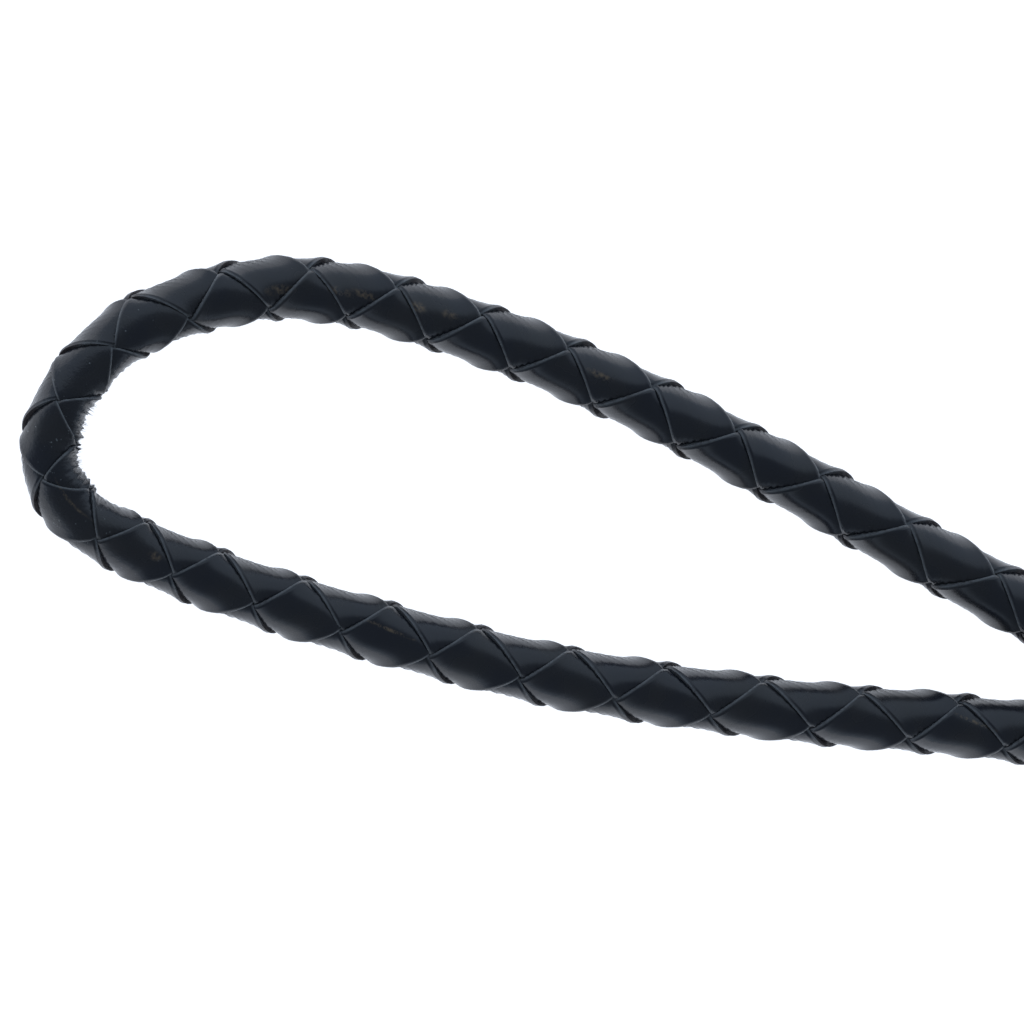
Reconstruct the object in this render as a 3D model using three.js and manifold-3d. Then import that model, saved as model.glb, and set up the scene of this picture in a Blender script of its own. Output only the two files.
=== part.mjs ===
// A bolo tie at its real size, in millimetres, +Z up.
// It lies on a table with its length along X: the fold that goes behind the neck is at -X,
// the two metal tips are at +X, and the slide that joins the legs stands on the origin.

import * as THREE from 'three';
import { mergeVertices } from 'three/addons/utils/BufferGeometryUtils.js';
import Module from 'manifold-3d';

// Cord: one length of round braid, plaited from four flat leather laces.
const CORD_DIAMETER = 5;
const CORD_RADIUS = CORD_DIAMETER / 2;
const CORD_SIDES = 12;
const STEPS_PER_SPAN = 2;

// Clearance between pieces that touch on the real tie.
const GAP = 0.3;

// Slide: an oval plate with a raised middle, and a clasp behind it that both legs pass through.
const SLIDE_LENGTH = 42;
const SLIDE_WIDTH = 32;
const RIM_THICKNESS = 1.2;
const DOME_RISE = 1.3;
const DOME_SHARE = 0.86;
const EDGE_BEVEL_SHARE = 0.985;
const SLIDE_SEGMENTS = 64;
const DOME_RINGS = 6;
const CLASP_LENGTH = 18;
const CLASP_WALL = 0.8;
const CHANNEL_SPACING = 7.8;
const CHANNEL_RADIUS = CORD_RADIUS + GAP + 0.1;
const CHANNEL_HEIGHT = CHANNEL_RADIUS + CLASP_WALL;
const CLASP_HEIGHT = 2 * CHANNEL_HEIGHT;
const CLASP_CORNER = 3;
const CHANNEL_SEGMENTS = 16;
const WELD_DEPTH = 0.2;

// Tips: a straight metal barrel with a groove near its mouth and a rounded nose.
const TIP_LENGTH = 37;
const TIP_RADIUS = 3.4;
const TIP_NOSE_RADIUS = 1.7;
const TIP_NOSE_START = 27;
const TIP_GROOVE_RADIUS = 3.05;
const TIP_GROOVE_START = 3;
const TIP_GROOVE_WIDTH = 1;
const TIP_MOUTH_BEVEL = 0.25;
const TIP_SEGMENTS = 24;
const NOSE_RINGS = 6;
const SOCKET_RADIUS = CORD_RADIUS + GAP;
const SOCKET_DEPTH = 8;

// The cord's centre line, from one tip through the slide, round the fold and back.
// Columns: x, y, height of the centre.
const TABLE_CLEARANCE = 0.1;
const ON_TABLE = CORD_RADIUS + TABLE_CLEARANCE;
const IN_SLIDE = CHANNEL_HEIGHT;
const IN_TIP = TIP_RADIUS;
const CHANNEL_OFFSET = CHANNEL_SPACING / 2;
const ROUTE = [
  [187, 13.4, IN_TIP],
  [176, 12.9, IN_TIP],
  [160, 12, ON_TABLE + 0.4],
  [126, 9.9, ON_TABLE],
  [80, 6.8, ON_TABLE],
  [32, CHANNEL_OFFSET, ON_TABLE + 0.4],
  [12, CHANNEL_OFFSET, IN_SLIDE],
  [-12, CHANNEL_OFFSET, IN_SLIDE],
  [-32, CHANNEL_OFFSET, ON_TABLE + 0.4],
  [-82, 3.6, ON_TABLE],
  [-132, 3.4, ON_TABLE],
  [-149, 4, ON_TABLE],
  [-162.5, 5.7, ON_TABLE],
  [-184.4, 9.7, ON_TABLE],
  [-204, 12.8, ON_TABLE],
  [-221, 13.7, ON_TABLE],
  [-232.2, 12.7, ON_TABLE],
  [-240.2, 9.3, ON_TABLE],
  [-246.8, 3.8, ON_TABLE],
  [-250, -3.4, ON_TABLE],
  [-249.6, -8, ON_TABLE],
  [-246.8, -11, ON_TABLE],
  [-242.2, -12.3, ON_TABLE],
  [-234.1, -13.1, ON_TABLE],
  [-221.1, -13.2, ON_TABLE],
  [-201, -12.1, ON_TABLE],
  [-181.6, -9.1, ON_TABLE],
  [-159.6, -4.6, ON_TABLE],
  [-147, -3.1, ON_TABLE],
  [-132, -2.9, ON_TABLE],
  [-82, -3.5, ON_TABLE],
  [-32, -CHANNEL_OFFSET, ON_TABLE + 0.4],
  [-12, -CHANNEL_OFFSET, IN_SLIDE],
  [12, -CHANNEL_OFFSET, IN_SLIDE],
  [32, -CHANNEL_OFFSET, ON_TABLE + 0.4],
  [78, -6.6, ON_TABLE],
  [122, -9.7, ON_TABLE],
  [154, -12.1, ON_TABLE + 0.4],
  [170, -13.4, IN_TIP],
  [181, -14.3, IN_TIP],
];

const LEATHER = new THREE.MeshStandardMaterial({ color: 0x23262c, roughness: 0.4, metalness: 0 });
const SILVER = new THREE.MeshStandardMaterial({ color: 0xb9bbbe, roughness: 0.25, metalness: 1 });

const wasm = await Module();
wasm.setup();

// A smooth curve whose stations fall on the route's own points, so a tight bend gets more of them.
class StationCurve extends THREE.CatmullRomCurve3 {
  getUtoTmapping(u) {
    return u;
  }
}

function toSolid(geometry) {
  const bare = geometry.clone();
  bare.deleteAttribute('normal');
  bare.deleteAttribute('uv');
  const welded = mergeVertices(bare, 1e-5);
  return new wasm.Manifold(new wasm.Mesh({
    numProp: 3,
    vertProperties: Float32Array.from(welded.attributes.position.array),
    triVerts: Uint32Array.from(welded.index.array),
  }));
}

function toGeometry(solid) {
  const mesh = solid.getMesh();
  const geometry = new THREE.BufferGeometry();
  geometry.setAttribute('position', new THREE.BufferAttribute(mesh.vertProperties, 3));
  geometry.setIndex(new THREE.BufferAttribute(mesh.triVerts, 1));
  geometry.computeVertexNormals();
  return geometry;
}

function named(name, geometry, material) {
  const mesh = new THREE.Mesh(geometry, material);
  mesh.name = name;
  return mesh;
}

function makeCordCurve() {
  const points = ROUTE.map(([x, y, height]) => new THREE.Vector3(x, y, height));
  return new StationCurve(points, false, 'centripetal');
}

function makeCord(curve) {
  const section = new THREE.Shape();
  for (let side = 0; side < CORD_SIDES; side += 1) {
    const angle = (side / CORD_SIDES) * 2 * Math.PI;
    const x = CORD_RADIUS * Math.cos(angle);
    const y = CORD_RADIUS * Math.sin(angle);
    if (side === 0) section.moveTo(x, y);
    else section.lineTo(x, y);
  }
  section.closePath();
  const steps = (ROUTE.length - 1) * STEPS_PER_SPAN;
  return new THREE.ExtrudeGeometry(section, { steps, bevelEnabled: false, extrudePath: curve });
}

// The plate is turned as a round dish of radius 1, then stretched to its oval.
function makePlate() {
  const base = CLASP_HEIGHT - WELD_DEPTH;
  const rimTop = base + RIM_THICKNESS;
  const profile = [
    new THREE.Vector2(0, base),
    new THREE.Vector2(EDGE_BEVEL_SHARE, base),
    new THREE.Vector2(1, base + RIM_THICKNESS / 4),
    new THREE.Vector2(1, rimTop - RIM_THICKNESS / 4),
    new THREE.Vector2(EDGE_BEVEL_SHARE, rimTop),
  ];
  for (let ring = 0; ring <= DOME_RINGS; ring += 1) {
    const angle = (ring / DOME_RINGS) * (Math.PI / 2);
    const radius = ring === DOME_RINGS ? 0 : DOME_SHARE * Math.cos(angle);
    profile.push(new THREE.Vector2(radius, rimTop + DOME_RISE * Math.sin(angle)));
  }
  const plate = new THREE.LatheGeometry(profile, SLIDE_SEGMENTS);
  plate.rotateX(Math.PI / 2);
  plate.scale(SLIDE_LENGTH / 2, SLIDE_WIDTH / 2, 1);
  return plate;
}

// The clasp's outline is drawn across the tie (x is the tie's Y, y is its height).
function makeClasp() {
  const halfWidth = CHANNEL_OFFSET + CHANNEL_HEIGHT;
  const outline = new THREE.Shape();
  outline.moveTo(-halfWidth + CLASP_CORNER, 0);
  outline.lineTo(halfWidth - CLASP_CORNER, 0);
  outline.absarc(halfWidth - CLASP_CORNER, CLASP_CORNER, CLASP_CORNER, -Math.PI / 2, 0, false);
  outline.lineTo(halfWidth, CLASP_HEIGHT);
  outline.lineTo(-halfWidth, CLASP_HEIGHT);
  outline.lineTo(-halfWidth, CLASP_CORNER);
  outline.absarc(-halfWidth + CLASP_CORNER, CLASP_CORNER, CLASP_CORNER, Math.PI, 1.5 * Math.PI, false);
  for (const side of [-1, 1]) {
    const channel = new THREE.Path();
    channel.absarc(side * CHANNEL_OFFSET, CHANNEL_HEIGHT, CHANNEL_RADIUS, 0, 2 * Math.PI, true);
    outline.holes.push(channel);
  }
  const clasp = new THREE.ExtrudeGeometry(outline, {
    depth: CLASP_LENGTH,
    steps: 1,
    curveSegments: CHANNEL_SEGMENTS,
    bevelEnabled: false,
  });
  clasp.translate(0, 0, -CLASP_LENGTH / 2);
  clasp.rotateX(Math.PI / 2);
  clasp.rotateZ(Math.PI / 2);
  return clasp;
}

function makeSlide() {
  return toGeometry(toSolid(makePlate()).add(toSolid(makeClasp())));
}

// A tip is turned about its own Z axis, with its mouth at 0 and its nose at TIP_LENGTH.
function makeTip() {
  const grooveEnd = TIP_GROOVE_START + TIP_GROOVE_WIDTH;
  const profile = [
    new THREE.Vector2(0, SOCKET_DEPTH),
    new THREE.Vector2(SOCKET_RADIUS, SOCKET_DEPTH),
    new THREE.Vector2(SOCKET_RADIUS, 0),
    new THREE.Vector2(TIP_RADIUS - TIP_MOUTH_BEVEL, 0),
    new THREE.Vector2(TIP_RADIUS, TIP_MOUTH_BEVEL),
    new THREE.Vector2(TIP_RADIUS, TIP_GROOVE_START),
    new THREE.Vector2(TIP_GROOVE_RADIUS, TIP_GROOVE_START + TIP_GROOVE_WIDTH / 4),
    new THREE.Vector2(TIP_GROOVE_RADIUS, grooveEnd - TIP_GROOVE_WIDTH / 4),
    new THREE.Vector2(TIP_RADIUS, grooveEnd),
    new THREE.Vector2(TIP_RADIUS, TIP_NOSE_START),
  ];
  const noseCentre = TIP_LENGTH - TIP_NOSE_RADIUS;
  for (let ring = 0; ring <= NOSE_RINGS; ring += 1) {
    const angle = (ring / NOSE_RINGS) * (Math.PI / 2);
    const radius = ring === NOSE_RINGS ? 0 : TIP_NOSE_RADIUS * Math.cos(angle);
    profile.push(new THREE.Vector2(radius, noseCentre + TIP_NOSE_RADIUS * Math.sin(angle)));
  }
  const tip = new THREE.LatheGeometry(profile, TIP_SEGMENTS);
  tip.rotateX(Math.PI / 2);
  return tip;
}

// A tip sits on the cord's end, in line with it, and lies level on the table.
function placeTip(name, cordEnd, outward) {
  const axis = new THREE.Vector3(outward.x, outward.y, 0).normalize();
  const tip = named(name, makeTip(), SILVER);
  tip.quaternion.setFromUnitVectors(new THREE.Vector3(0, 0, 1), axis);
  tip.position.copy(cordEnd).addScaledVector(axis, GAP - SOCKET_DEPTH);
  tip.position.z = TIP_RADIUS;
  return tip;
}

const cordCurve = makeCordCurve();
const group = new THREE.Group();
group.add(named('cord', makeCord(cordCurve), LEATHER));
group.add(named('slide', makeSlide(), SILVER));
group.add(placeTip('tip_left', cordCurve.getPoint(0), cordCurve.getTangent(0).negate()));
group.add(placeTip('tip_right', cordCurve.getPoint(1), cordCurve.getTangent(1)));

export default group;
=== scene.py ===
# %% [markdown]
# A bolo tie: one length of round braided leather cord, folded where it goes behind the neck,
# drawn together by a metal slide and finished with two metal tips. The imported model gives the
# slide's size. The cord's route and the tips' sizes repeat the values that the model was built
# from. This lesson makes the surfaces. Blender works in metres, so MM turns millimetres into them.

# %% Load the frame
import math

import bpy
import numpy as np
from mathutils import Matrix, Vector


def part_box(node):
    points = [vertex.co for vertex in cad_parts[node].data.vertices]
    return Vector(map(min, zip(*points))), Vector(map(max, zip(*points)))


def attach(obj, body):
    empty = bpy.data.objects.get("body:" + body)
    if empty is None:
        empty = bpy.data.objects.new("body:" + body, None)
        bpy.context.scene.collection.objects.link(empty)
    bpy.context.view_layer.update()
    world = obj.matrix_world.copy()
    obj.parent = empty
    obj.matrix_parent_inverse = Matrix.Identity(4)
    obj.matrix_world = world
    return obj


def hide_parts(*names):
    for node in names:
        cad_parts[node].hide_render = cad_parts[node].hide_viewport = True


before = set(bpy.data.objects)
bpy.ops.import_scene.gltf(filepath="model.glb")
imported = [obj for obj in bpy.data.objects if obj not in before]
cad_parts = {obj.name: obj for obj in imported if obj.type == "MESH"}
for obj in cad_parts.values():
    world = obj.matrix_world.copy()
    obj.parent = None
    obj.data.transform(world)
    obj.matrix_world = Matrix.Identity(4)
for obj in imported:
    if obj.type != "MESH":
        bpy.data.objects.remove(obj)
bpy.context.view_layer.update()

MM = 0.001
bpy.ops.object.select_all(action="DESELECT")
print("frame loaded:", sorted(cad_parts))

# %% [markdown]
# The camera comes first, because the cord is judged by what the camera leaves out. It looks
# steeply down on the fold from beyond its end, turned so that the tie runs away to the right,
# through a long lens that keeps both legs nearly parallel in scale.

# %% The camera
CAMERA_TARGET = Vector((-209.2, 0.0, 2.6)) * MM
CAMERA_DISTANCE = 1.2
CAMERA_ELEVATION = math.radians(72)
CAMERA_TURN = math.radians(17)
VIEW_WIDTH = 86.8 * MM
SENSOR = 36.0


def make_camera():
    away = Vector((math.cos(CAMERA_TURN), math.sin(CAMERA_TURN), 0))
    up = Vector((0, 0, 1))
    forward = away * math.cos(CAMERA_ELEVATION) - up * math.sin(CAMERA_ELEVATION)
    right = away * math.sin(CAMERA_ELEVATION) + up * math.cos(CAMERA_ELEVATION)
    top = up.cross(away)
    data = bpy.data.cameras.new("camera")
    data.sensor_width = SENSOR
    data.lens = SENSOR * CAMERA_DISTANCE / VIEW_WIDTH
    data.clip_start = 0.01
    camera = bpy.data.objects.new("camera", data)
    bpy.context.collection.objects.link(camera)
    turn = Matrix((right, top, -forward)).transposed().to_4x4()
    camera.matrix_world = Matrix.Translation(CAMERA_TARGET - forward * CAMERA_DISTANCE) @ turn
    bpy.context.scene.camera = camera
    return camera


camera = make_camera()
print("camera lens, mm:", round(camera.data.lens))

# %% [markdown]
# The route is the cord's centre line. On a real tie it is simply how the cord lies: each leg
# comes out of a tip, passes through the slide, and swings round the fold. It could be drawn as a
# Bezier by hand, but a list of points is easy to keep equal to the imported model's own tube. A
# centripetal Catmull-Rom curve runs through the points without overshooting at the tight fold.
# Round the fold most points are rounded from a centre line that a separate program worked out.
# The points far from it were set one by one.

# %% The cord's route
CORD_DIAMETER = 5 * MM
CORD_RADIUS = CORD_DIAMETER / 2
ON_TABLE = CORD_RADIUS / MM + 0.1
IN_SLIDE = 3.7
IN_TIP = 3.4
CHANNEL_OFFSET = 3.9
# Columns: x, y, height of the centre, in millimetres.
ROUTE = [
    (187, 13.4, IN_TIP), (176, 12.9, IN_TIP), (160, 12, ON_TABLE + 0.4),
    (126, 9.9, ON_TABLE), (80, 6.8, ON_TABLE), (32, CHANNEL_OFFSET, ON_TABLE + 0.4),
    (12, CHANNEL_OFFSET, IN_SLIDE), (-12, CHANNEL_OFFSET, IN_SLIDE),
    (-32, CHANNEL_OFFSET, ON_TABLE + 0.4), (-82, 3.6, ON_TABLE), (-132, 3.4, ON_TABLE),
    (-149, 4, ON_TABLE), (-162.5, 5.7, ON_TABLE), (-184.4, 9.7, ON_TABLE),
    (-204, 12.8, ON_TABLE), (-221, 13.7, ON_TABLE), (-232.2, 12.7, ON_TABLE),
    (-240.2, 9.3, ON_TABLE), (-246.8, 3.8, ON_TABLE), (-250, -3.4, ON_TABLE),
    (-249.6, -8, ON_TABLE), (-246.8, -11, ON_TABLE), (-242.2, -12.3, ON_TABLE),
    (-234.1, -13.1, ON_TABLE), (-221.1, -13.2, ON_TABLE), (-201, -12.1, ON_TABLE),
    (-181.6, -9.1, ON_TABLE), (-159.6, -4.6, ON_TABLE), (-147, -3.1, ON_TABLE),
    (-132, -2.9, ON_TABLE), (-82, -3.5, ON_TABLE), (-32, -CHANNEL_OFFSET, ON_TABLE + 0.4),
    (-12, -CHANNEL_OFFSET, IN_SLIDE), (12, -CHANNEL_OFFSET, IN_SLIDE),
    (32, -CHANNEL_OFFSET, ON_TABLE + 0.4), (78, -6.6, ON_TABLE), (122, -9.7, ON_TABLE),
    (154, -12.1, ON_TABLE + 0.4), (170, -13.4, IN_TIP), (181, -14.3, IN_TIP),
]
POINTS_PER_SPAN = 100
ROUTE_STEP = 0.1 * MM
SMOOTHING = 1.5 * MM


def catmull_rom(points, per_span):
    """Points on the centripetal Catmull-Rom curve through the given points."""
    padded = np.vstack([2 * points[0] - points[1], points, 2 * points[-1] - points[-2]])
    t = np.linspace(0, 1, per_span, endpoint=False)[:, None]
    curve = []
    for p0, p1, p2, p3 in zip(padded, padded[1:], padded[2:], padded[3:]):
        d0, d1, d2 = (math.sqrt(np.linalg.norm(b - a)) for a, b in ((p0, p1), (p1, p2), (p2, p3)))
        m1 = ((p1 - p0) / d0 - (p2 - p0) / (d0 + d1) + (p2 - p1) / d1) * d1
        m2 = ((p2 - p1) / d1 - (p3 - p1) / (d1 + d2) + (p3 - p2) / d2) * d1
        curve.append(p1 + m1 * t + (3 * (p2 - p1) - 2 * m1 - m2) * t**2
                     + (2 * (p1 - p2) + m1 + m2) * t**3)
    return np.vstack(curve + [points[-1:]])


def lengths_along(points):
    return np.r_[0, np.cumsum(np.linalg.norm(np.diff(points, axis=0), axis=1))]


def columns(table, at, values):
    """Each column of values, read off at the given places along the table."""
    return np.stack([np.interp(at, table, values[:, i]) for i in range(values.shape[1])], axis=1)


def soften(values, sigma):
    """A running average with a bell-shaped weight, sigma in rows."""
    reach = int(3 * sigma)
    weights = np.exp(-0.5 * (np.arange(-reach, reach + 1) / sigma) ** 2)
    padded = np.pad(values, ((reach, reach), (0, 0)), mode="edge")
    return np.stack([np.convolve(c, weights / weights.sum(), "valid") for c in padded.T], axis=1)


raw = catmull_rom(np.array(ROUTE) * MM, POINTS_PER_SPAN)
raw_length = lengths_along(raw)
arc = np.arange(0, raw_length[-1], ROUTE_STEP)
centre = soften(columns(raw_length, arc, raw), SMOOTHING / ROUTE_STEP)
along = np.gradient(centre, axis=0)
along /= np.linalg.norm(along, axis=1)[:, None]
inward = np.cross((0, 0, 1), along)
inward /= np.linalg.norm(inward, axis=1)[:, None]
upward = np.cross(along, inward)
fold_arc = arc[np.argmin(centre[:, 0])]

# %% [markdown]
# The braid. Two leather laces wind round the cord one way and two the other, each over one and
# under one, so that the surface is four columns of leaf-shaped facets. Each lace is a flat strap
# with square cut edges. It could be four curves with a bevel profile, but a curve twists its
# section freely, and here each edge has to butt against the next lace. So every section of every
# lace is worked out: where it is round the cord, how high it rides, and its own flat outline.
# The braid is bunched up at the fold and drawn out along the legs, and the whole cord turns
# slowly on itself. Two short tables hold this. The spacings are rounded from a fit that a separate
# program made to the places of the crossings, and the turns were set by hand close to what it
# gave. Far from the fold the cord is drawn a little thinner, so that its raised edges clear the
# clasp and the tips' sockets.

# %% How the braid lies
# Columns: distance along the cord from the fold, distance between crossings (both millimetres).
CROSSING_SPACING = [
    (-95, 9.3), (-70, 8.5), (-45, 8.0), (-25, 7.4), (-12, 7.4), (-4, 6.1),
    (4, 5.9), (12, 6.9), (25, 7.8), (45, 8.3), (70, 9.0), (95, 8.8),
]
# Columns: distance along the cord from the fold (millimetres), turn of the braid (degrees).
BRAID_TURN = [
    (-95, 66), (-60, 62), (-40, 58), (-26, 50), (-15, 25), (-8, -3), (-2, -28), (4, -42),
    (10, -30), (17, -26), (45, -24), (60, -28), (85, -40), (95, -40),
]
TURN_SMOOTHING = 3 * MM
PHASE_AT_FOLD = 5.66
LACE_THICKNESS = 0.85 * MM
LAYER_RADIUS = 1.86 * MM
LAYER_RISE = 0.26 * MM
DIVE_SHARPNESS = 3.2
DIVE_LAG = 0.28
EDGE_LIFT = 0.44 * MM
TOP_LIFT_SHARE = 0.6
EDGE_GAP = 0.012
FOLD_SQUEEZE = 0.09
FOLD_REACH = 12 * MM
CLASP_SQUEEZE = 0.92
CLASP_SQUEEZE_FROM = (110 * MM, 130 * MM)

from_fold = arc - fold_arc
spacing = np.interp(from_fold / MM, *np.array(CROSSING_SPACING).T) * MM
turns = np.r_[0, np.cumsum(0.5 * ROUTE_STEP / spacing)][:-1]
turns += PHASE_AT_FOLD - np.interp(0, from_fold, turns)
braid_turn = np.radians(np.interp(from_fold / MM, *np.array(BRAID_TURN).T))
braid_turn = soften(braid_turn[:, None], TURN_SMOOTHING / ROUTE_STEP)[:, 0]
squeeze = 1 - FOLD_SQUEEZE * np.exp(-((from_fold / FOLD_REACH) ** 2))
squeeze *= np.interp(abs(from_fold), CLASP_SQUEEZE_FROM, (1, CLASP_SQUEEZE))
print("turns of the braid:", round(float(turns[-1] - turns[0]), 1))

# %% [markdown]
# A lace's own section has three runs: the flesh side underneath, the two cut edges with the
# corner skived off, and the smooth grain side. Each point of the section has a place across the
# lace from 0 to 1, a height through its thickness from -1 to 1, and a mark that tells cut edge
# from grain. Rings of sections stand close together at the fold and further apart on the hidden
# stretch.

# %% A lace's section and its rings
SKIVE_ACROSS = 0.05
SKIVE_DOWN = 0.5
GRAIN_POINTS = 11
RING_STEPS = ((14 * MM, 0.16 * MM), (100 * MM, 0.4 * MM), (1.0, 0.8 * MM))


def lace_section():
    rows = [(0.5, -1, 1), (0, -1, 1), (0, 1 - SKIVE_DOWN, 1)]
    for i in range(GRAIN_POINTS):
        share = 0.5 - 0.5 * math.cos(math.pi * i / (GRAIN_POINTS - 1))
        rows.append((SKIVE_ACROSS + share * (1 - 2 * SKIVE_ACROSS), 1, 0))
    rows += [(1, 1 - SKIVE_DOWN, 1), (1, -1, 1)]
    return np.array(rows)


def ring_places():
    places = []
    at = arc[0]
    while at < arc[-1]:
        places.append(at)
        at += next(step for reach, step in RING_STEPS if abs(at - fold_arc) < reach)
    return np.array(places + [arc[-1]])


section = lace_section()
rings = ring_places()
print("points in a section:", len(section), " rings:", len(rings))

# %% [markdown]
# One lace. At each ring the lace's phase says how far round the cord it has wound and whether it
# is over or under its neighbour. The height follows a softened square wave, so that a lace lies
# flat on top of its neighbour, stays high until the neighbour's edge and only dips beneath it.
# Across its width a strap stays flatter than the round core, so its cut edges stand slightly
# proud, less so on top where rubbing has pressed them down. On the inside of the fold the grain
# is crushed into fine wrinkles.

# %% One lace
WRINKLE_HEIGHT = 0.2 * MM
WRINKLE_LENGTH = 0.9 * MM
WRINKLE_REACH = 7 * MM
WRINKLE_CENTRE = 2 * MM
LACE_WANDER = 0.006
UNEVENNESS = 0.03 * MM
EDGE_LIFT_POWER = 4
LOWEST_LEATHER = 0.03 * MM


def lace_surface(way, index):
    """Positions and attribute columns of one lace; way is 1 or -1 round the cord."""
    p = np.interp(rings, arc, turns)[:, None]
    c = columns(arc, rings, centre)[:, None, :]
    n = columns(arc, rings, inward)[:, None, :]
    u = columns(arc, rings, upward)[:, None, :]
    twist = np.interp(rings, arc, braid_turn)[:, None]
    shrink = np.interp(rings, arc, squeeze)[:, None]
    across, height, cut = (section[None, :, i] for i in range(3))
    wander = LACE_WANDER * np.sin(2 * math.pi * 0.37 * p + 2.1 * index + way)
    own = (index + EDGE_GAP + across * (1 - 2 * EDGE_GAP)) / 2 + wander
    running = 2 * p - own
    angle = way * 2 * math.pi * (p - own) + twist
    wave = way * (1 - 2 * index) * np.sin(2 * math.pi * running)
    level = np.tanh(DIVE_SHARPNESS * (wave + DIVE_LAG))
    over = np.clip(level, 0, 1)
    unevenness = UNEVENNESS * np.sin(2 * math.pi * (0.23 * p + 0.31 * index) + way)
    radius = LAYER_RADIUS + LAYER_RISE * level + unevenness
    pressed = TOP_LIFT_SHARE + (1 - TOP_LIFT_SHARE) * np.sin(angle) ** 2
    radius = radius + EDGE_LIFT * pressed * over**2 * np.abs(2 * across - 1) ** EDGE_LIFT_POWER
    radius = radius + height * LACE_THICKNESS / 2
    past_fold = (rings - fold_arc)[:, None]
    inner = np.clip(np.sin(angle), 0, 1) ** 2
    crush = np.exp(-(((past_fold - WRINKLE_CENTRE) / WRINKLE_REACH) ** 2)) * inner
    ripple = np.sin(2 * math.pi * past_fold / WRINKLE_LENGTH + 1.7 * np.sin(5 * angle))
    ripple = ripple + 0.6 * np.sin(2 * math.pi * past_fold / (0.57 * WRINKLE_LENGTH) + 4 * angle)
    radius = radius + WRINKLE_HEIGHT * crush * ripple * (height > 0)
    radius = radius * shrink
    out = np.cos(angle)[..., None] * u + np.sin(angle)[..., None] * n
    places = c + radius[..., None] * out
    places[..., 2] = np.maximum(places[..., 2], LOWEST_LEATHER)
    run = np.broadcast_to(rings[:, None], angle.shape)
    facts = {
        "cut_edge": np.broadcast_to(cut, angle.shape),
        "across": np.broadcast_to(across, angle.shape),
        "run": run + 0.35 * index + 0.11 * way,
        "over": over,
        "crush": crush,
        "past_fold": np.broadcast_to(past_fold, angle.shape),
        "azimuth": (angle + math.pi) % (2 * math.pi) - math.pi,
    }
    return places, facts


def lace_faces(count, width, start):
    """Quads of a closed tube of rings, with a cap on each end."""
    faces = []
    for ring in range(count - 1):
        low = start + ring * width
        for i in range(width):
            j = (i + 1) % width
            faces.append((low + i, low + j, low + width + j, low + width + i))
    faces.append(tuple(start + i for i in reversed(range(width))))
    faces.append(tuple(start + (count - 1) * width + i for i in range(width)))
    return faces


print("points in one lace:", lace_surface(1, 0)[0].size // 3)

# %% [markdown]
# Where the cord folds, the grain has broken and short fibres of the leather stand up from the
# crushed inside. Each is a sliver with three sides and a point, scattered with a fixed seed. A
# few dark burrs on the cut edges are made the same way, and a short table places them.

# %% Fibres at the fold
FIBRES = 260
FIBRE_SEED = 11
FIBRE_ROOT = 2.25
FIBRE_HALF_WIDTH = 0.04
# Middle and spread: distance from the fold (mm), and turn from straight up (degrees).
FIBRE_PLACE = (0.8, 2.8)
FIBRE_TURN = (68, 26)
# Shortest and longest (mm).
FIBRE_LENGTH = (0.2, 0.65)
FIBRE_FACES = ((0, 2, 1), (0, 1, 3), (1, 2, 3), (2, 0, 3))
# Columns: distance from the fold (mm), turn from straight up (degrees), length, half width (mm).
BURRS = [(36.4, -88, 0.75, 0.16), (37.0, -84, 0.5, 0.14), (-2.6, -90, 0.7, 0.05)]


def sliver(past, turn, length, half_width, lean):
    """Four corners of one sliver: three round its root, and its point."""
    i = int((fold_arc + past * MM) / ROUTE_STEP)
    out = math.cos(turn) * upward[i] + math.sin(turn) * inward[i]
    root = centre[i] + out * squeeze[i] * FIBRE_ROOT * MM
    side = np.cross(out, along[i]) * half_width * MM
    tip = root + (0.6 * out + lean * inward[i]) * length * MM
    return np.array([root - side, root + side, root + along[i] * half_width * MM, tip])


def fold_fibres(start):
    """Points, faces and paleness of the fibres; faces count from the given vertex."""
    dice = np.random.default_rng(FIBRE_SEED)
    slivers = [(sliver(past, math.radians(turn), length, half_width, 0), 0)
               for past, turn, length, half_width in BURRS]
    for _ in range(FIBRES):
        past, turn = dice.normal(*FIBRE_PLACE), math.radians(dice.normal(*FIBRE_TURN))
        length = dice.uniform(*FIBRE_LENGTH)
        slivers.append((sliver(past, turn, length, FIBRE_HALF_WIDTH, 1), 1))
    points, faces, pale = [], [], []
    for corners, paleness in slivers:
        first = start + len(points)
        forwards = np.linalg.det(corners[1:] - corners[0]) > 0
        for face in FIBRE_FACES:
            turned = face if forwards else face[::-1]
            faces.append(tuple(first + corner for corner in turned))
        points += corners.tolist()
        pale += [paleness] * 4
    return points, faces, pale


print("fibres:", FIBRES, " burrs:", len(BURRS))

# %% [markdown]
# The four laces and the fibres become one mesh, because together they are one cord. The facts
# about each point are kept as attributes, so that the leather's finish can follow the laces
# round the braid.

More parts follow.
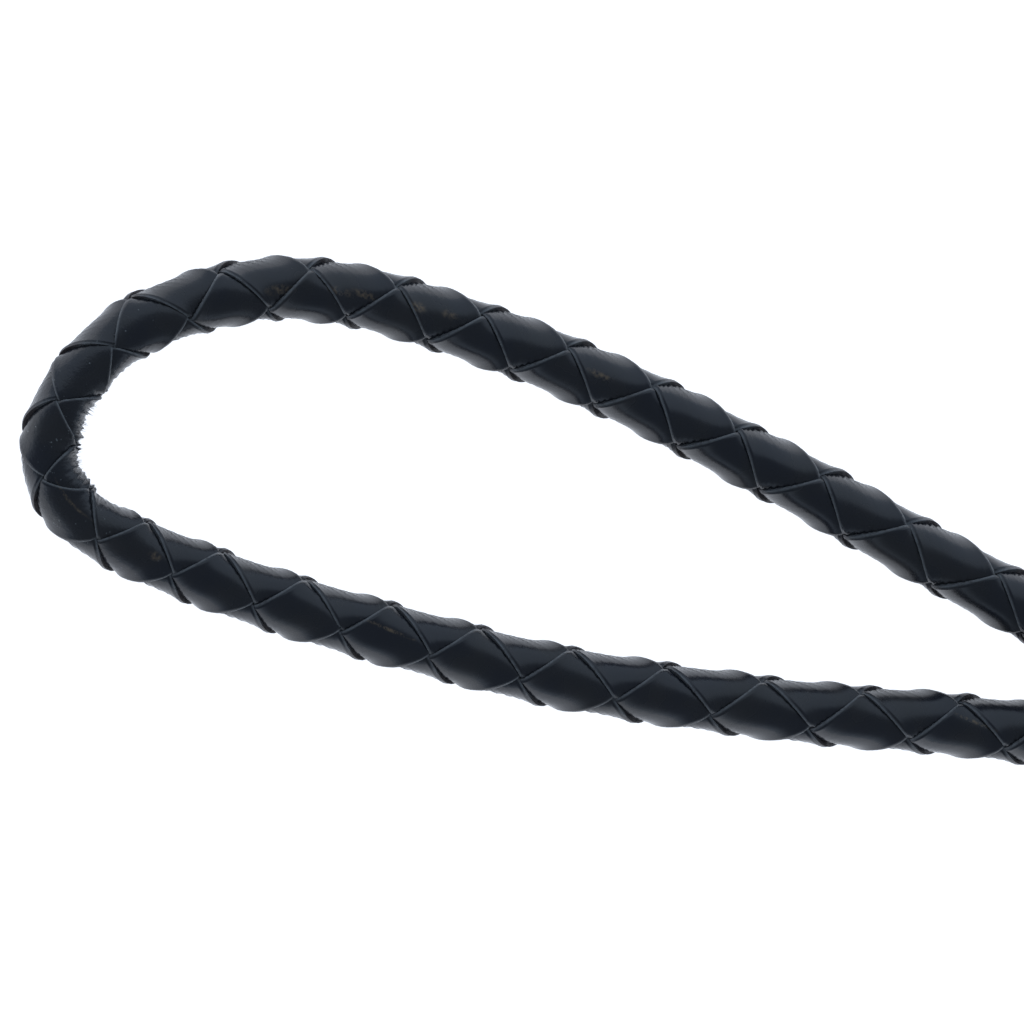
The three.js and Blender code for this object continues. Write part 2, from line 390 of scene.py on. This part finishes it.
# %% Build the braided cord
def make_cord():
    places, faces, facts = [], [], {}
    for way in (1, -1):
        for index in (0, 1):
            lace, lace_facts = lace_surface(way, index)
            count, width = lace.shape[:2]
            new_faces = lace_faces(count, width, len(places))
            if way < 0:
                new_faces = [tuple(reversed(f)) for f in new_faces]
            faces += new_faces
            places += lace.reshape(-1, 3).tolist()
            for key, value in lace_facts.items():
                facts.setdefault(key, []).append(np.asarray(value, float).reshape(-1))
    points, new_faces, pale = fold_fibres(len(places))
    for values in facts.values():
        values.append(np.zeros(len(points)))
    facts["fibre"] = [np.zeros(len(places)), np.array(pale)]
    mesh = bpy.data.meshes.new("cord")
    mesh.from_pydata(places + points, [], faces + new_faces)
    for key, values in facts.items():
        layer = mesh.attributes.new(key, "FLOAT", "POINT")
        layer.data.foreach_set("value", np.concatenate(values).astype(np.float32))
    mesh.update()
    cord = bpy.data.objects.new("braided_cord", mesh)
    bpy.context.collection.objects.link(cord)
    return cord


cord = make_cord()
print("faces in the cord:", len(cord.data.polygons))

# %% [markdown]
# Black leather is not flat black. Its dye is a deep blue-black that varies from place to place,
# its glazed grain side gives soft wide reflections, and the cut edges are paler, matt and
# fibrous. Where laces rub, the glaze wears through to tan.

# %% Helpers for materials
def new_material(name):
    material = bpy.data.materials.new(name)
    material.use_nodes = True
    tree = material.node_tree
    return material, tree, tree.nodes["Principled BSDF"]


def add_node(tree, kind, inputs=None, **settings):
    node = tree.nodes.new(kind)
    for key, value in settings.items():
        setattr(node, key, value)
    for key, value in (inputs or {}).items():
        if isinstance(value, bpy.types.NodeSocket):
            tree.links.new(value, node.inputs[key])
        else:
            node.inputs[key].default_value = value
    return node


def fact(tree, name):
    return add_node(tree, "ShaderNodeAttribute", attribute_name=name).outputs["Fac"]


def maths(tree, operation, *values):
    node = add_node(tree, "ShaderNodeMath", operation=operation)
    for socket, value in zip(node.inputs, values):
        if isinstance(value, bpy.types.NodeSocket):
            tree.links.new(value, socket)
        else:
            socket.default_value = value
    return node.outputs[0]


def ramp(tree, value, low, high, to_low=0.0, to_high=1.0):
    node = add_node(tree, "ShaderNodeMapRange", {
        "Value": value, "From Min": low, "From Max": high, "To Min": to_low, "To Max": to_high,
    }, interpolation_type="SMOOTHSTEP")
    return node.outputs["Result"]


def blend_colours(tree, share, first, second):
    node = add_node(tree, "ShaderNodeMix", data_type="RGBA")
    for socket, value in ((node.inputs[0], share), (node.inputs[6], first), (node.inputs[7], second)):
        if isinstance(value, bpy.types.NodeSocket):
            tree.links.new(value, socket)
        else:
            socket.default_value = value
    return node.outputs[2]


def noise(tree, vector, scale, detail=4.0, roughness=0.5):
    node = add_node(tree, "ShaderNodeTexNoise", {
        "Vector": vector, "Scale": scale, "Detail": detail, "Roughness": roughness,
    })
    return node.outputs["Fac"]


# %% [markdown]
# The wear isn't even. The glaze has gone in a few small places along the top of the braid, where
# it rubs on a collar, and has cracked where the cord folds. A short table places them; a separate
# program worked out its distances and turns, and the sizes and slopes were set by hand. The grain
# near the fold is pitted. The cut edges are painted pale where they face up, a painted highlight,
# and dark brown where they face sideways or down, painted shade, speckled by the leather's
# patchiness.

# %% The leather
NAVY_BLACK = (0.0150, 0.0172, 0.0245, 1)
WORN_BLACK = (0.0205, 0.0208, 0.0240, 1)
# The cut edges' pale is a painted highlight on edges that face up; their dark brown is painted shade
# on edges that face sideways or down.
CUT_PALE_LIT = (0.14, 0.148, 0.157, 1)
PIT_PALE = (0.13, 0.14, 0.15, 1)
CUT_BROWN_SHADED = (0.042, 0.034, 0.036, 1)
FIBRE_PALE = (0.26, 0.28, 0.31, 1)
TAN = (0.165, 0.12, 0.076, 1)
LACE_WIDTH = 4.4 * MM
FAR_FROM_ANY_SPOT = 9.0
# Columns: distance along the cord from the fold (mm), turn from straight up towards the inside
# (degrees), half length (mm), half width (mm), slope against the cord (degrees).
WORN_SPOTS = [
    (-23.8, 3, 1.0, 0.35, 0), (-29.2, 0, 0.9, 0.28, -8), (-31.4, -2, 1.0, 0.28, -8),
    (-36.2, -5, 0.6, 0.35, 0), (-39.1, -9, 0.6, 0.35, 0), (-53.3, -4, 1.0, 0.25, 0),
    (6.7, -7, 1.8, 0.12, 5), (15.3, -6, 0.45, 0.3, 0), (36.9, 4, 2.2, 0.13, -6),
    (90.1, 8, 1.6, 0.14, -16),
]


def worn_spots(tree, patchy):
    """How worn a place is, from 0 to 1, by its distance from the nearest spot of the table."""
    around = maths(tree, "MULTIPLY", fact(tree, "azimuth"), CORD_RADIUS / MM)
    unrolled = add_node(tree, "ShaderNodeCombineXYZ", {
        "X": maths(tree, "MULTIPLY", fact(tree, "past_fold"), 1 / MM), "Y": around,
    }).outputs[0]
    nearest = FAR_FROM_ANY_SPOT
    for past, turn, half_length, half_width, slope in WORN_SPOTS:
        spot = add_node(tree, "ShaderNodeMapping", {
            "Vector": unrolled,
            "Location": (past, math.radians(turn) * CORD_RADIUS / MM, 0),
            "Rotation": (0, 0, math.radians(slope)),
            "Scale": (half_length, half_width, 1),
        }, vector_type="TEXTURE")
        away = add_node(tree, "ShaderNodeVectorMath", {0: spot.outputs[0]}, operation="LENGTH")
        nearest = maths(tree, "MINIMUM", nearest, away.outputs["Value"])
    return maths(tree, "MULTIPLY", ramp(tree, nearest, 1.7, 0.2), ramp(tree, patchy, 0.36, 0.7))


def make_leather():
    material, tree, skin = new_material("braided_leather")
    place = add_node(tree, "ShaderNodeTexCoord").outputs["Object"]
    lace_place = add_node(tree, "ShaderNodeCombineXYZ", {
        "X": fact(tree, "run"),
        "Y": maths(tree, "MULTIPLY", fact(tree, "across"), LACE_WIDTH),
        "Z": fact(tree, "cut_edge"),
    }).outputs[0]
    cut = ramp(tree, fact(tree, "cut_edge"), 0.15, 0.85)
    near_fold = ramp(tree, maths(tree, "ABSOLUTE", fact(tree, "past_fold")), 22 * MM, 5 * MM)
    cloudy = noise(tree, place, 260, 3)
    patchy = noise(tree, place, 2600, 3, 0.6)
    grain = noise(tree, place, 5200, 3, 0.6)
    streaks = noise(tree, add_node(tree, "ShaderNodeMapping", {
        "Vector": lace_place, "Scale": (0.35, 1.6, 1),
    }).outputs[0], 1500, 4)
    cells = add_node(tree, "ShaderNodeTexVoronoi", {"Vector": place, "Scale": 2600})
    pits = maths(tree, "MULTIPLY", ramp(tree, cells.outputs["Distance"], 0.24, 0.13),
                 ramp(tree, noise(tree, place, 900, 2), 0.56, 0.66))
    pits = maths(tree, "MULTIPLY", pits, near_fold)
    dye = blend_colours(tree, ramp(tree, cloudy, 0.35, 0.7), NAVY_BLACK, WORN_BLACK)
    dye = blend_colours(tree, pits, dye, PIT_PALE)
    worn = worn_spots(tree, patchy)
    grain_side = blend_colours(tree, worn, dye, TAN)
    # Painted light and shade: cut edges that face up are painted pale, those facing sideways or down
    # dark brown; patchy noise speckles the pale.
    lit_from_above = ramp(tree, maths(tree, "ABSOLUTE", fact(tree, "azimuth")),
                    math.radians(78), math.radians(45))
    painted_light_share = maths(tree, "MULTIPLY", lit_from_above, ramp(tree, patchy, 0.25, 0.6, 0.45, 1.0))
    edges = blend_colours(tree, painted_light_share, CUT_BROWN_SHADED, CUT_PALE_LIT)
    colour = blend_colours(tree, cut, grain_side, edges)
    colour = blend_colours(tree, fact(tree, "fibre"), colour, FIBRE_PALE)
    tree.links.new(colour, skin.inputs["Base Color"])
    gloss = ramp(tree, cloudy, 0.3, 0.7, 0.2, 0.3)
    gloss = maths(tree, "ADD", gloss, maths(tree, "MULTIPLY", cut, 0.25))
    gloss = maths(tree, "ADD", gloss, maths(tree, "MULTIPLY", worn, 0.2))
    tree.links.new(gloss, skin.inputs["Roughness"])
    skin.inputs["IOR"].default_value = 1.5
    fine = add_node(tree, "ShaderNodeBump", {
        "Strength": 0.5, "Distance": 0.008 * MM, "Height": grain,
    })
    creases = add_node(tree, "ShaderNodeBump", {
        "Strength": 0.4, "Distance": 0.018 * MM, "Height": streaks, "Normal": fine.outputs[0],
    })
    roughened = maths(tree, "MAXIMUM", maths(tree, "MULTIPLY", near_fold, 0.3), fact(tree, "crush"))
    crushed = add_node(tree, "ShaderNodeBump", {
        "Strength": roughened,
        "Distance": 0.1 * MM,
        "Height": maths(tree, "SUBTRACT", patchy, pits), "Normal": creases.outputs[0],
    })
    tree.links.new(crushed.outputs[0], skin.inputs["Normal"])
    return material


leather = make_leather()
cord.data.materials.append(leather)
bpy.context.view_layer.objects.active = cord
cord.select_set(True)
bpy.ops.object.shade_smooth_by_angle(angle=math.radians(50))
bpy.ops.object.select_all(action="DESELECT")
print("materials so far:", leather.name)

# %% [markdown]
# The metal is a silver-coloured casting, polished by hand: bright, with soft cloudy reflections
# and fine scratches.

# %% The metal
SILVER = (0.66, 0.655, 0.64, 1)
SILVER_DULL = (0.46, 0.455, 0.45, 1)


def make_metal(name, scratch_scale):
    material, tree, skin = new_material(name)
    place = add_node(tree, "ShaderNodeTexCoord").outputs["Object"]
    cloudy = noise(tree, place, 170, 4)
    lines = add_node(tree, "ShaderNodeMapping", {"Vector": place, "Scale": scratch_scale})
    scratches = noise(tree, lines.outputs[0], 900, 5, 0.65)
    tree.links.new(blend_colours(tree, ramp(tree, cloudy, 0.4, 0.75), SILVER, SILVER_DULL),
                   skin.inputs["Base Color"])
    skin.inputs["Metallic"].default_value = 1
    tree.links.new(ramp(tree, maths(tree, "ADD", cloudy, maths(tree, "MULTIPLY", scratches, 0.4)),
                        0.5, 0.95, 0.16, 0.36), skin.inputs["Roughness"])
    bump = add_node(tree, "ShaderNodeBump", {
        "Strength": 0.25, "Distance": 0.01 * MM, "Height": scratches,
    })
    tree.links.new(bump.outputs[0], skin.inputs["Normal"])
    return material


slide_metal = make_metal("slide_metal", (0.15, 2.2, 1))
tip_metal = make_metal("tip_metal", (1.8, 0.2, 0.2))
print("metals:", slide_metal.name, tip_metal.name)

# %% [markdown]
# Hard pieces are modelled as by hand. One helper leaves a single object selected, in edit mode
# with nothing picked; another picks faces or edges by their place.

# %% Helpers for modelling by hand
def begin_edit(piece):
    bpy.ops.object.select_all(action="DESELECT")
    piece.select_set(True)
    bpy.context.view_layer.objects.active = piece
    bpy.ops.object.mode_set(mode="EDIT")
    bpy.ops.mesh.select_mode(type="FACE")
    bpy.ops.mesh.select_all(action="DESELECT")


def pick_faces(piece, test):
    bpy.ops.object.mode_set(mode="OBJECT")
    for face in piece.data.polygons:
        face.select = test(face)
    bpy.ops.object.mode_set(mode="EDIT")


def pick_edges(piece, test):
    bpy.ops.mesh.select_mode(type="EDGE")
    bpy.ops.object.mode_set(mode="OBJECT")
    vertices = piece.data.vertices
    for edge in piece.data.edges:
        edge.select = test(vertices[edge.vertices[0]].co, vertices[edge.vertices[1]].co)
    bpy.ops.object.mode_set(mode="EDIT")


def end_edit():
    bpy.ops.object.mode_set(mode="OBJECT")


def grow(rise, scale):
    """Extrude the picked cap upwards, then scale it about the piece's own axis."""
    bpy.ops.mesh.extrude_region_move(TRANSFORM_OT_translate={"value": (0, 0, rise)})
    bpy.ops.transform.resize(value=(scale, scale, 1), center_override=(0, 0, 0))


def apply_modifier(piece, kind, **settings):
    bpy.context.view_layer.objects.active = piece
    modifier = piece.modifiers.new(kind.lower(), kind)
    for key, value in settings.items():
        setattr(modifier, key, value)
    bpy.ops.object.modifier_apply(modifier=modifier.name)


def finish_metal(piece, name, material, smooth_angle):
    piece.name = name
    bpy.ops.object.select_all(action="DESELECT")
    piece.select_set(True)
    bpy.context.view_layer.objects.active = piece
    bpy.ops.object.transform_apply(location=True, rotation=True, scale=True)
    bpy.ops.object.shade_smooth_by_angle(angle=math.radians(smooth_angle))
    piece.data.materials.clear()
    piece.data.materials.append(material)
    bpy.ops.object.select_all(action="DESELECT")
    print(name, "faces:", len(piece.data.polygons))


# %% [markdown]
# The slide. On a real tie it is a cast plate with a clasp soldered behind it, and the two legs of
# the cord are pushed through the clasp. The plate starts as a short cylinder squeezed to an oval.
# Its top is extruded and scaled inwards row by row: a rounded rim, a fine groove, then a low dome
# that closes on itself.

# %% The slide's plate
slide_low, slide_high = (Vector(corner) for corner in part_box("slide"))
SLIDE_LENGTH = slide_high.x - slide_low.x
SLIDE_WIDTH = slide_high.y - slide_low.y
SLIDE_TOP = slide_high.z
CLASP_HEIGHT = 2 * IN_SLIDE * MM
RIM_THICKNESS = 1.2 * MM
WELD_DEPTH = 0.2 * MM
GROOVE_DEPTH = 0.35 * MM
DOME_ROWS = 14
PLATE_VERTICES = 144
PLATE_BEVEL = 0.22 * MM
# Columns: rise, share of the plate's half length that the cap is scaled to.
RIM_ROWS = [(0.0, 0.93), (-GROOVE_DEPTH, 0.922), (0.0, 0.905), (GROOVE_DEPTH * 0.8, 0.897)]


def make_plate():
    base = CLASP_HEIGHT - WELD_DEPTH
    bpy.ops.mesh.primitive_cylinder_add(
        vertices=PLATE_VERTICES, radius=SLIDE_LENGTH / 2, depth=RIM_THICKNESS,
        location=(0, 0, base + RIM_THICKNESS / 2))
    plate = bpy.context.active_object
    plate.scale = (1, SLIDE_WIDTH / SLIDE_LENGTH, 1)
    bpy.ops.object.transform_apply(location=True, rotation=True, scale=True)
    begin_edit(plate)
    top = base + RIM_THICKNESS
    pick_faces(plate, lambda face: face.normal.z > 0.9)
    share, height = 1.0, top
    for rise, target in RIM_ROWS:
        grow(rise, target / share)
        share, height = target, height + rise
    dome_start, dome_base = share, height
    for row in range(1, DOME_ROWS):
        angle = row / DOME_ROWS * math.pi / 2
        target = dome_start * math.cos(angle)
        new_height = dome_base + (SLIDE_TOP - dome_base) * math.sin(angle)
        grow(new_height - height, target / share)
        share, height = target, new_height
    bpy.ops.mesh.poke(offset=SLIDE_TOP - height)
    end_edit()
    apply_modifier(plate, "BEVEL", width=PLATE_BEVEL, segments=3, limit_method="ANGLE",
                   angle_limit=math.radians(50))
    return plate


plate = make_plate()
print("plate faces:", len(plate.data.polygons))

# %% [markdown]
# The clasp is a block with its two lower long edges rounded off. Each leg's channel is cut by a
# cylinder, and then block and plate are joined, as solder joins them.

# %% The clasp, and the slide in one piece
CLASP_LENGTH = 18 * MM
CLASP_WALL = 0.8 * MM
CHANNEL_RADIUS = IN_SLIDE * MM - CLASP_WALL
CLASP_CORNER = 3 * MM
CLASP_BEVEL = 0.25 * MM
CHANNEL_VERTICES = 48


def make_slide():
    half_width = CHANNEL_OFFSET * MM + IN_SLIDE * MM
    bpy.ops.mesh.primitive_cube_add(size=1, location=(0, 0, CLASP_HEIGHT / 2))
    clasp = bpy.context.active_object
    clasp.scale = (CLASP_LENGTH, 2 * half_width, CLASP_HEIGHT)
    bpy.ops.object.transform_apply(location=True, rotation=True, scale=True)
    begin_edit(clasp)
    pick_edges(clasp, lambda a, b: max(a.z, b.z) < MM and abs(a.y - b.y) < MM)
    bpy.ops.mesh.bevel(offset=CLASP_CORNER, segments=8, profile=0.5)
    end_edit()
    for side in (-1, 1):
        bpy.ops.mesh.primitive_cylinder_add(
            vertices=CHANNEL_VERTICES, radius=CHANNEL_RADIUS, depth=2 * CLASP_LENGTH,
            location=(0, side * CHANNEL_OFFSET * MM, IN_SLIDE * MM), rotation=(0, math.pi / 2, 0))
        drill = bpy.context.active_object
        apply_modifier(clasp, "BOOLEAN", operation="DIFFERENCE", object=drill, solver="EXACT")
        bpy.data.objects.remove(drill)
    apply_modifier(clasp, "BEVEL", width=CLASP_BEVEL, segments=3, limit_method="ANGLE",
                   angle_limit=math.radians(50))
    apply_modifier(plate, "BOOLEAN", operation="UNION", object=clasp, solver="EXACT")
    bpy.data.objects.remove(clasp)
    finish_metal(plate, "oval_slide", slide_metal, 35)
    return plate


slide = make_slide()

# %% [markdown]
# The tips keep the braid from fraying. Each is a turned barrel with a socket for the cord, a
# rolled lip, two fine grooves and a nose that narrows to a round point. It could be spun from a
# profile; extruding the socket's floor outwards and along, row by row, gives the same rings and
# closes by itself.

# %% The tips
SOCKET_DEPTH = 8.0
TIP_LENGTH = 37.0
TIP_GAP = 0.3
TIP_VERTICES = 64
SOCKET_RADIUS = 2.8
BARREL_RADIUS = IN_TIP
BARREL_END = 25.0
SHOULDER_RADIUS = 3.3
GROOVE_RADIUS = 3.15
NOSE_RADIUS = 1.7
NOSE_ROWS = 8
NOSE_CURVE = 1.6
BALL_ROWS = 6
# Columns: distance from the mouth, radius, both in millimetres.
TIP_ROWS = [
    (SOCKET_DEPTH, SOCKET_RADIUS), (0.25, SOCKET_RADIUS), (0.0, 3.0), (0.0, 3.2), (0.1, 3.33),
    (0.3, BARREL_RADIUS), (1.3, BARREL_RADIUS), (1.5, SHOULDER_RADIUS), (1.6, GROOVE_RADIUS),
    (1.9, GROOVE_RADIUS), (2.0, SHOULDER_RADIUS), (2.2, BARREL_RADIUS), (3.0, BARREL_RADIUS),
    (3.2, SHOULDER_RADIUS), (3.3, GROOVE_RADIUS), (3.6, GROOVE_RADIUS), (3.7, SHOULDER_RADIUS),
    (3.9, BARREL_RADIUS), (15.0, BARREL_RADIUS), (BARREL_END, BARREL_RADIUS),
]


def nose_rows():
    """A barrel that eases into a cone and ends in a ball."""
    rows = []
    ball = TIP_LENGTH - NOSE_RADIUS
    for i in range(1, NOSE_ROWS + 1):
        share = i / NOSE_ROWS
        narrowing = (BARREL_RADIUS - NOSE_RADIUS) * share ** NOSE_CURVE
        rows.append((BARREL_END + share * (ball - BARREL_END), BARREL_RADIUS - narrowing))
    for i in range(1, BALL_ROWS + 1):
        angle = i / (BALL_ROWS + 1) * math.pi / 2
        rows.append((ball + NOSE_RADIUS * math.sin(angle), NOSE_RADIUS * math.cos(angle)))
    return rows


def make_tip(name, end, direction):
    bpy.ops.mesh.primitive_circle_add(vertices=TIP_VERTICES, radius=TIP_ROWS[0][1] * MM,
                                      fill_type="NGON", location=(0, 0, TIP_ROWS[0][0] * MM))
    tip = bpy.context.active_object
    bpy.ops.object.transform_apply(location=True, rotation=True, scale=True)
    begin_edit(tip)
    bpy.ops.mesh.select_all(action="SELECT")
    place, radius = TIP_ROWS[0]
    for new_place, new_radius in TIP_ROWS[1:] + nose_rows():
        grow((new_place - place) * MM, new_radius / radius)
        place, radius = new_place, new_radius
    bpy.ops.mesh.poke(offset=(TIP_LENGTH - place) * MM)
    bpy.ops.mesh.select_all(action="SELECT")
    bpy.ops.mesh.remove_doubles(threshold=0.001 * MM)
    bpy.ops.mesh.normals_make_consistent(inside=False)
    end_edit()
    axis = Vector((direction[0], direction[1], 0)).normalized()
    mouth = Vector(end) + axis * (TIP_GAP - SOCKET_DEPTH) * MM
    mouth.z = IN_TIP * MM
    tip.matrix_world = Matrix.Translation(mouth) @ axis.to_track_quat("Z", "Y").to_matrix().to_4x4()
    finish_metal(tip, name, tip_metal, 40)
    return tip


tip_left = make_tip("metal_tip_left", raw[0], raw[0] - raw[1])
tip_right = make_tip("metal_tip_right", raw[-1], raw[-1] - raw[-2])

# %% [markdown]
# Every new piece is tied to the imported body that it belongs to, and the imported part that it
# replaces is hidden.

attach(cord, "root")
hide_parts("cord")
for piece, node, slot in ((slide, "slide", "slide_metal"), (tip_left, "tip_left", "tip_metal"),
                          (tip_right, "tip_right", "tip_metal")):
    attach(piece, "root")
    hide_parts(node)
print("declared:", [piece.name for piece in (cord, slide, tip_left, tip_right)])

# %% [markdown]
# The tie lies on a plain white table in a small studio. The table glows a little, so that it
# stays white in a soft light. There are no lamps. The studio's walls give the light: brightest
# near the horizon, dim overhead, and bright high up on one side for the leather to reflect.

# %% Table and light
TABLE_SIZE = 8.0
TABLE_WHITE = (0.55, 0.55, 0.55, 1)
TABLE_GLOW = (0.88, 0.92, 1, 1)
TABLE_GLOW_STRENGTH = 1.14
STUDIO_BLUE = (0.68, 0.82, 1.0, 1)
LOW_LIGHT = 0.85
OVERHEAD_LIGHT = 0.22
BACK_LIGHT = 0.8


def make_table():
    bpy.ops.mesh.primitive_plane_add(size=TABLE_SIZE, location=(0, 0, 0))
    table = bpy.context.active_object
    table.name = "table"
    material, tree, skin = new_material("table_white")
    skin.inputs["Base Color"].default_value = TABLE_WHITE
    skin.inputs["Roughness"].default_value = 0.9
    skin.inputs["Specular IOR Level"].default_value = 0.1
    skin.inputs["Emission Color"].default_value = TABLE_GLOW
    skin.inputs["Emission Strength"].default_value = TABLE_GLOW_STRENGTH
    table.data.materials.append(material)


def make_world():
    world = bpy.data.worlds.new("studio")
    bpy.context.scene.world = world
    world.use_nodes = True
    tree = world.node_tree
    background = tree.nodes["Background"]
    direction = add_node(tree, "ShaderNodeTexCoord").outputs["Generated"]
    parts = add_node(tree, "ShaderNodeSeparateXYZ", {"Vector": direction})
    height = parts.outputs["Z"]
    side = parts.outputs["Y"]
    low = ramp(tree, height, 0.03, 0.42, LOW_LIGHT, OVERHEAD_LIGHT)
    back = maths(tree, "MULTIPLY", ramp(tree, side, 0.12, 0.5), ramp(tree, height, 0.97, 0.8))
    strength = maths(tree, "MAXIMUM", low, maths(tree, "MULTIPLY", back, BACK_LIGHT))
    tree.links.new(strength, background.inputs["Strength"])
    background.inputs["Color"].default_value = STUDIO_BLUE


make_table()
make_world()
bpy.context.scene.view_settings.view_transform = "Standard"
bpy.context.scene.view_settings.look = "None"
print("table, m:", TABLE_SIZE)
